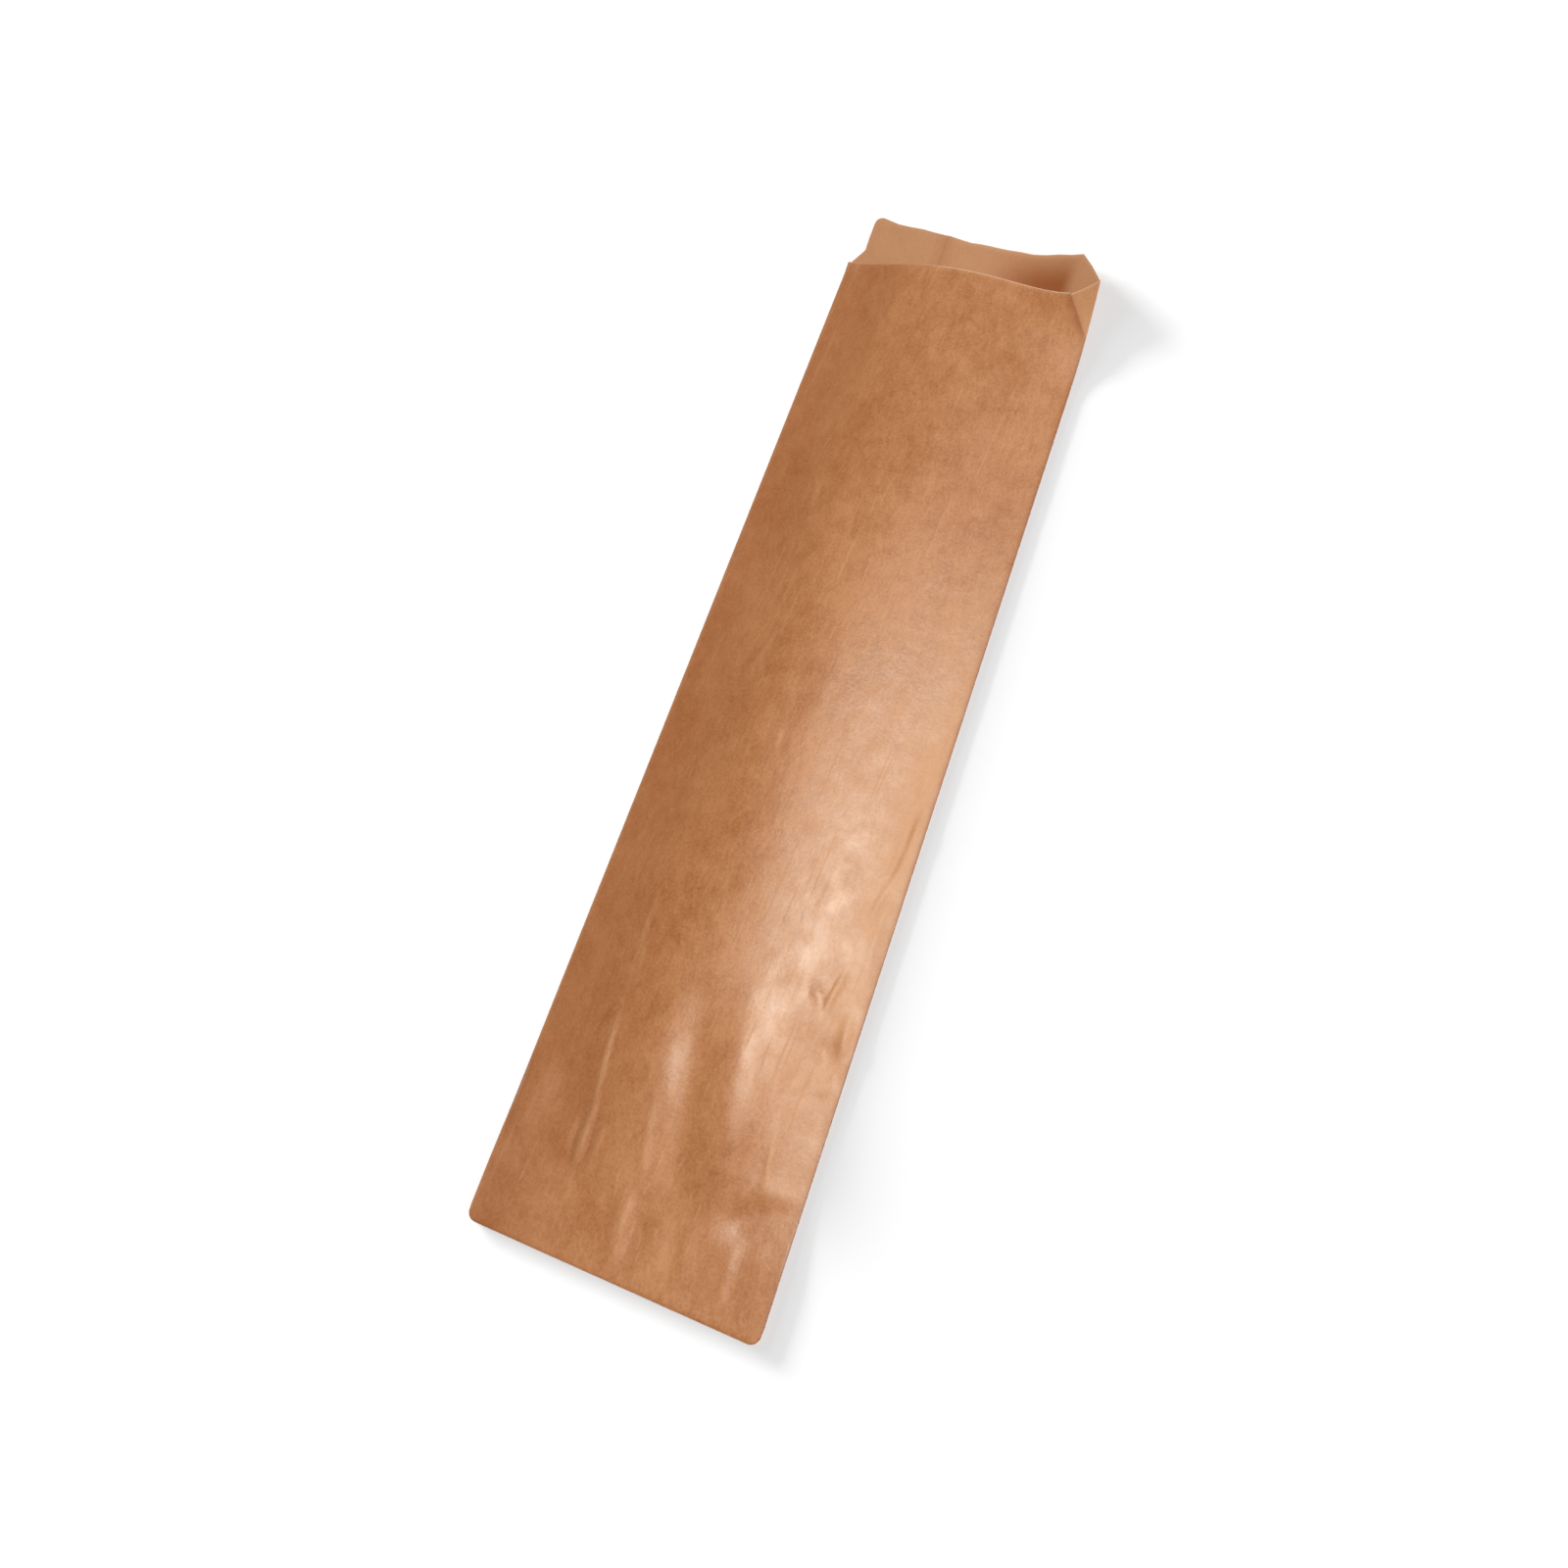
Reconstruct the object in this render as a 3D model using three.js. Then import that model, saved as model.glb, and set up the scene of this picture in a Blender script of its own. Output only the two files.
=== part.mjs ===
// A side-gusseted kraft paper bag for a set of cutlery, lying on its back panel.
// It is one folded sheet: a front panel, two gussets tucked in along the sides, and a back panel
// that is lapped and glued along its length and stands past the front panel as a lip.
// The bottom end is pressed flat, folded under and glued. Millimetres, +Z up, +Y towards the mouth.
// The origin is on the table, under the middle of the bag. Distances y are from the bottom edge.

import * as THREE from 'three';

// Sheet and panels
const panelWidth = 70;
const frontLength = 266;
const lipHeight = 14;
const gussetDepth = 15;
const paperThickness = 0.15;
const layerGap = 0.15;

// Lap seam along the back panel
const seamOverlap = 9;
const seamOffset = -5.5;
const seamRamp = 3;

// Bottom fold
const bottomFlap = 12;
const bottomFlapThickness = 0.5;
const bottomFlapDrop = 18;
const bottomSeal = 3;
const bottomCornerRadius = 2.5;
const bottomEdgeRound = 1;
const bottomEdgeHeight = 0.35;

// How far the front panel stands off the back one, and where along the bag
const middleRise = 6.5;
const mouthRise = 4.3;
const riseStart = 48;
const mouthFallLength = 90;
const archPower = 1.3;
const gussetLift = 0.27;

// Soft lengthwise ridges that the gusset creases press into the front panel near the bottom
const ridgeHeight = 0.45;
const ridgeWidth = 5;
const ridgeCentre = 62;
const ridgeReach = 46;

// Right corner of the mouth: the front panel's corner is tucked in and the whole corner curls up
const tuckWidth = 7.5;
const tuckLength = 13;
const gussetCutRise = 3.5;
const cornerLift = 6.5;
const cornerLiftStart = 5;
const cornerCurlLength = 46;

// Lip: a short slanted ledge and a steep side on the left, a clipped corner on the right
const ledgeWidth = 3.6;
const ledgeRise = 4.5;
const sideSlope = 14;
const clipWidth = 7;
const sideRound = 0.5;
const lipCornerRound = 2.5;
const lipCurl = 5.2;
const lipCurlWidth = 40;
const lipCurlLength = 18;
const lipCurlPower = 1.2;
const curlOvershoot = 2;
const drawInShare = 0.9;

const kraft = new THREE.MeshStandardMaterial({ color: 0xb98058, roughness: 0.55, metalness: 0 });

// Values that follow from the sizes above
const half = panelWidth / 2;
const layerPitch = paperThickness + layerGap;
const foldRadius = layerPitch / 2;
const foldLine = half - foldRadius;
const creaseLine = half - gussetDepth;
const backHeight = paperThickness / 2;
const gussetBackHeight = backHeight + layerPitch;
const gussetFrontHeight = gussetBackHeight + layerPitch;
const frontHeight = gussetFrontHeight + layerPitch;
const bagLength = frontLength + lipHeight;
const seamLeft = seamOffset - seamOverlap / 2;
const seamRight = seamOffset + seamOverlap / 2;
const stepWidth = 0.05;
const tolerance = 1e-6;

const { clamp, lerp, smoothstep } = THREE.MathUtils;

// The lower of two values, with the corner between them rounded over a blend width.
function softMin(a, b, blend) {
  const h = clamp(0.5 + (b - a) / (2 * blend), 0, 1);
  return lerp(b, a, h) - blend * h * (1 - h);
}

function softMax(a, b, blend) {
  return -softMin(-a, -b, blend);
}

// Shape of the bag along its length

// How far the middle of the front panel stands off the folds at a distance y from the bottom.
function riseAt(y) {
  const filled = smoothstep(y, bottomSeal, riseStart);
  const towardsMouth = smoothstep(y, frontLength - mouthFallLength, frontLength);
  return filled * lerp(middleRise, mouthRise, towardsMouth);
}

// The gussets rise evenly from the side folds to their creases, part of the way up the bag.
function gussetRise(u, y) {
  return (gussetLift * riseAt(y) * (foldLine - Math.abs(u))) / gussetDepth;
}

// The right-hand front fold runs inwards at the mouth, where the corner is tucked in.
function rightFold(y) {
  const tuck = clamp((y - frontLength + tuckLength) / tuckLength, 0, 1);
  return half - tuckWidth * tuck;
}

function ridges(u, y) {
  const across = Math.exp(-(((Math.abs(u) - creaseLine) / ridgeWidth) ** 2));
  const along = Math.exp(-(((y - ridgeCentre) / ridgeReach) ** 2));
  return ridgeHeight * across * along * smoothstep(y, bottomSeal, riseStart);
}

// Height of the surface that the back panel follows: over the flap, and up at the mouth's corners.
function bedHeight(u, y) {
  const flap = bottomFlapThickness * (1 - smoothstep(y, bottomFlap, bottomFlap + bottomFlapDrop));
  return flap + rightCurl(y) * curlShare(u) ** 3 + leftCurl(u, y);
}

function rightCurl(y) {
  const end = bagLength + curlOvershoot;
  return cornerLift * smoothstep(y, end - cornerCurlLength, end);
}

function curlShare(u) {
  return Math.max(0, (u - cornerLiftStart) / (half - cornerLiftStart));
}

function leftCurl(u, y) {
  const across = Math.max(0, (lipCurlWidth - half - u) / lipCurlWidth);
  const along = smoothstep(y, bagLength - lipCurlLength, bagLength + curlOvershoot);
  return lipCurl * across ** lipCurlPower * along;
}

// The paper keeps its width as it curls up, so the curled side draws in.
function drawIn(u, y) {
  return (drawInShare * rightCurl(y) ** 2 * curlShare(u) ** 5) / (half - cornerLiftStart);
}

// Outline of the back panel's cut edge: how far up the bag it reaches at a place u across.
function lipOutline(u) {
  const ledge = frontLength + ((u + half) * ledgeRise) / ledgeWidth;
  const side = frontLength + ledgeRise + (u + half - ledgeWidth) * sideSlope;
  const left = softMax(Math.min(ledge, frontLength + ledgeRise), side, sideRound);
  const clip = frontLength + gussetCutRise + ((half - u) * (lipHeight - gussetCutRise)) / clipWidth;
  return softMin(softMin(left, bagLength, lipCornerRound), clip, lipCornerRound / 2);
}

function gussetOutline(u) {
  const visible = clamp((u - half + tuckWidth) / tuckWidth, 0, 1);
  return frontLength + gussetCutRise * visible;
}

// Columns of the sheet, going once round the bag at right angles to its length. place(y) gives
// the middle of the paper and top is where the cut edge is. outerShift and innerShift are how far
// the lap seam moves the two faces up, and flapShare is 1 where the bottom flap lies under a column.

const columns = [];

function addColumn(place, top, options = {}) {
  columns.push({ place, top, inGusset: false, outerShift: 0, innerShift: 0, flapShare: 0, ...options });
}

// Where the back panel has columns: as shares of the ledge and of the clipped corner, and evenly.
const ledgeShares = [0.4, 0.8, 1, 1.08, 1.16, 1.25, 1.4, 1.8];
const clipShares = [0.3, 0.8, 1.2];
const backParts = 16;

function backPositions() {
  const seam = [seamLeft, seamLeft + stepWidth, seamRight, seamRight + stepWidth, seamRight + seamRamp];
  const ledge = ledgeShares.map((share) => ledgeWidth * share - half);
  const clip = clipShares.map((share) => half - clipWidth * share);
  const needed = [-foldLine, ...ledge, ...seam, ...clip, foldLine];
  const even = range(1, backParts - 1).map((i) => lerp(-foldLine, foldLine, i / backParts));
  const room = panelWidth / backParts / 4;
  const clear = even.filter((u) => needed.every((other) => Math.abs(u - other) > room));
  return [...needed, ...clear].sort((a, b) => a - b);
}

// The lap seam: one edge of the sheet lies on the other, inside the bag, and steps down past it.
function seamShift(u) {
  if (u <= seamRight) return 0;
  return paperThickness * clamp((seamRight + seamRamp - u) / (seamRamp - stepWidth), 0, 1);
}

function addBackPanel(fromMiddle, toMiddle) {
  for (const u of backPositions()) {
    if (u < fromMiddle || u >= toMiddle) continue;
    const onSeam = u > seamLeft && u <= seamRight;
    addColumn((y) => [u, backHeight], lipOutline(u), {
      outerShift: seamShift(u),
      innerShift: onSeam ? paperThickness : seamShift(u),
      flapShare: 1,
    });
  }
}

const foldParts = 4;
const gussetParts = 3;
const frontParts = 20;

// side is +1 on the right and -1 on the left. Each run goes from the back panel to the front one.
function backFold(side) {
  return range(1, foldParts - 1).map((i) => {
    const angle = -Math.PI / 2 + (Math.PI * i) / foldParts;
    const place = () => [
      side * (foldLine + foldRadius * Math.cos(angle)),
      backHeight + foldRadius * (1 + Math.sin(angle)),
    ];
    const top = side > 0 ? frontLength + gussetCutRise : frontLength;
    return { place, top, flapShare: i < foldParts / 2 ? 1 : 0, inGusset: i > foldParts / 2 };
  });
}

function gussetBack(side) {
  return range(0, gussetParts).map((i) => {
    const u = side * lerp(foldLine, creaseLine + foldRadius, i / gussetParts);
    const top = side > 0 ? gussetOutline(u) : frontLength;
    return { place: (y) => [u, gussetBackHeight + gussetRise(u, y)], top, inGusset: true };
  });
}

function gussetCrease(side) {
  const centre = creaseLine + foldRadius;
  return range(1, foldParts - 1).map((i) => {
    const angle = (Math.PI * i) / foldParts;
    const place = (y) => [
      side * (centre - foldRadius * Math.sin(angle)),
      gussetBackHeight + gussetRise(centre, y) + foldRadius * (1 - Math.cos(angle)),
    ];
    return { place, top: frontLength, inGusset: true, isCrease: i === foldParts / 2 };
  });
}

function gussetFront(side) {
  return range(0, gussetParts).map((i) => {
    const place = (y) => {
      const end = (side > 0 ? rightFold(y) : half) - foldRadius;
      const u = lerp(creaseLine + foldRadius, end, i / gussetParts);
      return [side * u, gussetFrontHeight + gussetRise(u, y)];
    };
    return { place, top: frontLength, inGusset: true };
  });
}

function frontFold(side) {
  return range(1, foldParts - 1).map((i) => {
    const angle = -Math.PI / 2 + (Math.PI * i) / foldParts;
    const place = (y) => {
      const centre = (side > 0 ? rightFold(y) : half) - foldRadius;
      const height = gussetFrontHeight + gussetRise(centre, y) + foldRadius * (1 + Math.sin(angle));
      return [side * (centre + foldRadius * Math.cos(angle)), height];
    };
    return { place, top: frontLength, inGusset: i < foldParts / 2 };
  });
}

// The front panel runs from the right fold to the left one, arched over the gussets.
function frontPanel() {
  return range(0, frontParts).map((i) => {
    const share = i / frontParts;
    const place = (y) => {
      const right = rightFold(y) - foldRadius;
      const u = lerp(right, -foldLine, share);
      const arch = riseAt(y) * Math.sin(Math.PI * clamp(share, 0, 1)) ** archPower;
      const seat = gussetRise(right, y) * (1 - share) ** 3;
      return [u, frontHeight + seat + arch + ridges(u, y)];
    };
    return { place, top: frontLength };
  });
}

function range(from, to) {
  return Array.from({ length: to - from + 1 }, (_, i) => from + i);
}

function addRun(run) {
  for (const column of run) addColumn(column.place, column.top, column);
}

function addSheet() {
  addBackPanel(seamRight + seamRamp, Infinity);
  addRun(backFold(1));
  addRun(gussetBack(1));
  addRun(gussetCrease(1));
  addRun(gussetFront(1));
  addRun(frontFold(1));
  addRun(frontPanel());
  addRun(frontFold(-1).reverse());
  addRun(gussetFront(-1).reverse());
  addRun(gussetCrease(-1).reverse());
  addRun(gussetBack(-1).reverse());
  addRun(backFold(-1).reverse());
  addBackPanel(-Infinity, seamRight + seamRamp);
}

// Rows along the bag. Up to evenLength every column has its rows at the same distances from the
// bottom. Past it the rows spread out to each column's own cut edge.

const mouthRowLength = 32;
const evenLength = frontLength - mouthRowLength;
const bodyParts = 11;

function evenRows() {
  const flapMiddle = (bottomSeal + bottomFlap) / 2;
  const drop = [stepWidth, bottomFlapDrop / 3, (2 * bottomFlapDrop) / 3, bottomFlapDrop];
  const start = bottomFlap + bottomFlapDrop;
  const body = range(1, bodyParts).map((i) => lerp(start, evenLength, i / bodyParts));
  return [bottomSeal, flapMiddle, bottomFlap, ...drop.map((d) => bottomFlap + d), ...body];
}

const mouthShares = [0.2, 0.4, 0.55, 0.66, 0.76, 0.84, 0.92, 1];

function rowsOf(column) {
  return [...evenRows(), ...mouthShares.map((share) => lerp(evenLength, column.top, share))];
}

// The middle of the paper of one column at a distance y, and the outward direction there.
function middleAt(column, y) {
  const [u, w] = column.place(y);
  return new THREE.Vector3(u - drawIn(u, y), y, bedHeight(u, y) + w);
}

function outwardAt(index, y) {
  const before = columns[(index + columns.length - 1) % columns.length];
  const after = columns[(index + 1) % columns.length];
  const here = middleAt(columns[index], y);
  const arriving = here.clone().sub(middleAt(before, y)).setY(0).normalize();
  const leaving = middleAt(after, y).sub(here).setY(0).normalize();
  const along = arriving.add(leaving).normalize();
  return new THREE.Vector3(along.z, 0, -along.x);
}

// Past the mouth the neighbours of a back column stop earlier, so its own direction is the bed's.
function lipOutward(u, y) {
  const slope = (bedHeight(u + stepWidth, y) - bedHeight(u - stepWidth, y)) / (2 * stepWidth);
  return new THREE.Vector3(slope, 0, -1).normalize();
}

function outward(index, y) {
  const column = columns[index];
  const onBack = column.flapShare === 1 && Math.abs(column.place(y)[0]) <= foldLine + tolerance;
  return onBack ? lipOutward(column.place(y)[0], y) : outwardAt(index, y);
}

function flapDrop(column, y) {
  return y <= bottomFlap + stepWidth / 2 ? bottomFlapThickness * column.flapShare : 0;
}

function outerPoint(index, y) {
  const column = columns[index];
  const point = middleAt(column, y).addScaledVector(outward(index, y), paperThickness / 2);
  const drop = flapDrop(column, y);
  point.z += drop > 0 ? -drop : column.outerShift;
  return point;
}

function innerPoint(index, y) {
  const column = columns[index];
  const point = middleAt(column, y).addScaledVector(outward(index, y), -paperThickness / 2);
  point.z += column.innerShift;
  return point;
}

// The sealed end below the gussets: the corners are rounded and the bottom edge is a folded one.

function sealedPoint(index, y) {
  const point = outerPoint(index, bottomSeal);
  const intoCorner = Math.max(0, bottomCornerRadius - y);
  const cornerWidth = bottomCornerRadius - Math.sqrt(bottomCornerRadius ** 2 - intoCorner ** 2);
  point.x *= (half - cornerWidth) / half;
  const edge = clamp(1 - y / bottomEdgeRound, 0, 1);
  const share = lerp(bottomEdgeHeight, 1, Math.sqrt(1 - edge ** 2));
  const middle = (bottomFlapThickness + frontHeight) / 2;
  point.z = lerp(middle, point.z, share);
  point.y = y;
  return point;
}

// Mesh

const positions = [];

function addTriangle(a, b, c) {
  positions.push(...a.toArray(), ...c.toArray(), ...b.toArray());
}

// Two facets between neighbouring columns of points, seen from the side that (right, up) turns to.
function addStrip(left, right, flip) {
  for (let row = 0; row + 1 < left.length; row++) {
    const quad = [left[row], right[row], right[row + 1], left[row + 1]];
    if (flip) quad.reverse();
    addTriangle(quad[0], quad[1], quad[2]);
    addTriangle(quad[0], quad[2], quad[3]);
  }
}

// A flat cap on a loop of points that share one distance y and run once out and once back along X.
// It is zipped from its leftmost point to its rightmost one.
function addCap(loop, flip) {
  const across = loop.map((point) => point.x);
  const leftmost = across.indexOf(Math.min(...across));
  const turned = [...loop.slice(leftmost), ...loop.slice(0, leftmost)];
  const rightmost = turned.reduce((best, point, i) => (point.x > turned[best].x ? i : best), 0);
  const there = turned.slice(0, rightmost + 1);
  const back = [turned[0], ...turned.slice(rightmost).reverse()];
  let i = 0;
  let j = 0;
  while (i + 1 < there.length || j + 1 < back.length) {
    const alongThere = j + 1 >= back.length || (i + 1 < there.length && there[i + 1].x <= back[j + 1].x);
    const face = alongThere ? [there[i], there[i + 1], back[j]] : [there[i], back[j + 1], back[j]];
    if (alongThere) i += 1;
    else j += 1;
    if (new Set(face).size < face.length) continue;
    if (flip) face.reverse();
    addTriangle(...face);
  }
}

// The indices of the columns from one to another, going round the bag.
function columnsFrom(first, last) {
  const count = (last - first + columns.length) % columns.length;
  return range(0, count).map((i) => (first + i) % columns.length);
}

// The first column past a gusset that lies nearer to the bag's middle than its crease.
function pastGusset(crease, step) {
  const distance = (i) => Math.abs(columns[i].place(bottomSeal)[0]);
  let i = crease;
  while (distance(i) >= distance(crease)) i = (i + step + columns.length) % columns.length;
  return i;
}

// The end of the bag's inside, as loops above and below each gusset and one between them.
function cavityLoops() {
  const [right, left] = columns.map((_, i) => i).filter((i) => columns[i].isCrease);
  const [backRight, frontRight] = [-1, 1].map((step) => pastGusset(right, step));
  const [frontLeft, backLeft] = [-1, 1].map((step) => pastGusset(left, step));
  const ends = [[backRight, right], [right, frontRight], [frontLeft, left], [left, backLeft]];
  const middle = [...columnsFrom(backLeft, backRight), right, ...columnsFrom(frontRight, frontLeft), left];
  return [...ends.map(([first, last]) => columnsFrom(first, last)), middle];
}

function buildBag() {
  addSheet();
  const outer = columns.map((column, i) => rowsOf(column).map((y) => outerPoint(i, y)));
  const inner = columns.map((column, i) => rowsOf(column).map((y) => innerPoint(i, y)));
  columns.forEach((_, i) => {
    const next = (i + 1) % columns.length;
    addStrip(outer[i], outer[next], false);
    addStrip(inner[i], inner[next], true);
    const rim = [outer[i].at(-1), outer[next].at(-1), inner[next].at(-1), inner[i].at(-1)];
    addTriangle(rim[0], rim[1], rim[2]);
    addTriangle(rim[0], rim[2], rim[3]);
  });
  for (const loop of cavityLoops()) addCap(loop.map((i) => inner[i][0]), false);

  const sealed = columns.map((_, i) => i).filter((i) => !columns[i].inGusset);
  const sealRows = [0, bottomEdgeRound / 4, bottomEdgeRound, (bottomEdgeRound + bottomCornerRadius) / 2];
  const ends = new Map(sealed.map((i) => {
    const points = sealRows.map((y) => sealedPoint(i, y));
    return [i, [...points, outer[i][0]]];
  }));
  sealed.forEach((i, k) => addStrip(ends.get(i), ends.get(sealed[(k + 1) % sealed.length]), false));
  addCap(sealed.map((i) => ends.get(i)[0]), true);
  for (const slit of gussetSlits()) addCap(slit.map((i) => outer[i][0]), true);
}

// The runs of columns inside each gusset, with the column before and after each run.
function gussetSlits() {
  const slits = [];
  columns.forEach((column, i) => {
    if (!column.inGusset) return;
    if (!columns[i - 1].inGusset) slits.push([i - 1]);
    slits.at(-1).push(i);
    if (!columns[i + 1].inGusset) slits.at(-1).push(i + 1);
  });
  return slits;
}

buildBag();

const geometry = new THREE.BufferGeometry();
geometry.setAttribute('position', new THREE.Float32BufferAttribute(positions, 3));
geometry.computeVertexNormals();

const bag = new THREE.Mesh(geometry, kraft);
bag.name = 'paper_bag';
bag.position.y = -bagLength / 2;

const group = new THREE.Group();
group.add(bag);

export default group;
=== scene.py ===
"""A side-gusseted kraft paper bag for cutlery, lying on its back panel.

The bag is one folded sheet. Its shape is worked out column by column round the sheet and row by
row along it, with the creases, ridges and dents that handling left in the front panel.
Lengths are in metres, +Y runs towards the open mouth and +Z up from the table.
"""

from __future__ import annotations

import logging
import math
from dataclasses import dataclass, field
from enum import Enum
from typing import Callable, ClassVar, Iterable, Sequence

import bpy
import numpy as np
from mathutils import Matrix, Vector

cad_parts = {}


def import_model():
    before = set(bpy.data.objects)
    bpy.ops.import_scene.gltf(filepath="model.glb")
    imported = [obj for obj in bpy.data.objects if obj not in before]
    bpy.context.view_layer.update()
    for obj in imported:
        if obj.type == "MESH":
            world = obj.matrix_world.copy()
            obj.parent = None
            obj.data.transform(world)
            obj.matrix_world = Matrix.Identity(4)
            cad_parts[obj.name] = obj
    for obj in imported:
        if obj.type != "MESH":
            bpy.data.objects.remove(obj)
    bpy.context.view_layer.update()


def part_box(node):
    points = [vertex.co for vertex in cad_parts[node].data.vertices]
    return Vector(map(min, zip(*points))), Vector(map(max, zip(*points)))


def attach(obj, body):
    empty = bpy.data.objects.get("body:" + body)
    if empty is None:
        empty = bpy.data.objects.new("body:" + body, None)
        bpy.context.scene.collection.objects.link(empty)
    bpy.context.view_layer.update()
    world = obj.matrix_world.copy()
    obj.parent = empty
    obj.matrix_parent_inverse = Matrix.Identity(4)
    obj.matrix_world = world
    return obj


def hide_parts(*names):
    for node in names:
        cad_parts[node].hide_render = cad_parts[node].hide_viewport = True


LOG = logging.getLogger("paper_bag")
MM = 0.001
NODE = "paper_bag"
PHOTO_SIZE = 1600.0
SHARP_ANGLE = math.radians(50.0)
CLIP_START = 0.01
# Columns round the ledge as shares of its width: first, last and how many.
LEDGE_RUNS = ((0.2, 0.9, 5), (0.96, 1.13, 7), (1.14, 1.8, 12))
# Rows round the sealed bottom edge as shares of its rounding.
BOTTOM_SHARES = (0.0, 0.03, 0.12, 0.25, 0.45, 0.7, 1.0)
Array = np.ndarray
Line = tuple[Array, Array]
Place = Callable[[Array], Line]
Pair = tuple[float, float]
Colour = tuple[float, float, float, float]
Triple = tuple[float, float, float]


def smoothstep(value: Array | float, low: float, high: float) -> Array:
    """Return a smooth ramp from 0 at low to 1 at high."""
    share = np.clip((np.asarray(value, dtype=float) - low) / (high - low), 0.0, 1.0)
    return share * share * (3.0 - 2.0 * share)


def soft_min(first: float, second: float, blend: float) -> float:
    """Return the lower of two values, with the corner between them rounded over a blend width."""
    share = min(max(0.5 + (second - first) / (2.0 * blend), 0.0), 1.0)
    return second + (first - second) * share - blend * share * (1.0 - share)


def bell(gap: Array, reach: float) -> Array:
    """Return 1 where a gap is zero, falling off smoothly over a reach on both sides."""
    return np.exp(-((gap / reach) ** 2))


class Side(Enum):
    """The two long sides of the bag."""

    LEFT = -1
    RIGHT = 1


@dataclass(frozen=True)
class Crease:
    """A ridge or valley in the front panel, straight between two points of the panel.

    Attributes:
        start: Across and along position of one end, in millimetres from the bottom's middle.
        end: The other end.
        height: How far the paper stands up, or down if negative, in millimetres.
        width: Half width of the ridge, in millimetres.
        skew: How much steeper one flank is, from -0.9 to 0.9: the left one, seen from the start.
        worn: How much of the glaze the crease has lost, from 0 to 1.
    """

    start: Pair
    end: Pair
    height: float
    width: float
    skew: float = 0.0
    worn: float = 0.0
    end_share: ClassVar[float] = 0.06
    end_power: ClassVar[float] = 0.6

    def profile(self, across: Array, along: Array) -> Array:
        """Return the ridge's share of its height at points of the panel.

        Args:
            across: Distances from the bag's middle line, in metres.
            along: Distances from the bottom edge, in metres.

        Returns:
            Values from 0 to 1.
        """
        x0, y0 = self.start[0] * MM, self.start[1] * MM
        dx, dy = self.end[0] * MM - x0, self.end[1] * MM - y0
        length = math.hypot(dx, dy)
        share = np.clip(((across - x0) * dx + (along - y0) * dy) / length**2, 0.0, 1.0)
        side = ((across - x0) * dy - (along - y0) * dx) / length
        gap = np.hypot(across - x0 - share * dx, along - y0 - share * dy)
        reach = self.width * MM * (1.0 + self.skew * np.sign(side))
        inside = np.clip(share, self.end_share, 1.0 - self.end_share)
        return bell(gap, reach) * np.sin(math.pi * inside) ** self.end_power


@dataclass(frozen=True)
class Dent:
    """A round hollow or swelling in the front panel, with sizes in millimetres."""

    centre: Pair
    height: float
    across: float
    along: float

    def profile(self, across: Array, along: Array) -> Array:
        """Return the dent's share of its height at points of the panel.

        Args:
            across: Distances from the bag's middle line, in metres.
            along: Distances from the bottom edge, in metres.

        Returns:
            Values from 0 to 1.
        """
        u = (across / MM - self.centre[0]) / self.across
        v = (along / MM - self.centre[1]) / self.along
        return np.exp(-(u**2) - v**2)


@dataclass
class Column:
    """One line of the sheet along the bag.

    Attributes:
        place: Gives the across position and the height of the middle of the paper.
        top: Where the cut edge is, from the bottom edge.
        gusset: Whether the column belongs to a gusset.
        in_gusset: Whether the column lies between the layers of a gusset.
        outer_shift: How far the lap seam moves the outer face up.
        inner_shift: How far the lap seam moves the inner face up.
        over_flap: Whether the folded-under bottom flap lies below the column.
        is_crease: Whether this is the inmost column of a gusset.
    """

    place: Place
    top: float
    gusset: bool = False
    in_gusset: bool = False
    outer_shift: float = 0.0
    inner_shift: float = 0.0
    over_flap: bool = False
    is_crease: bool = False


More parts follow.
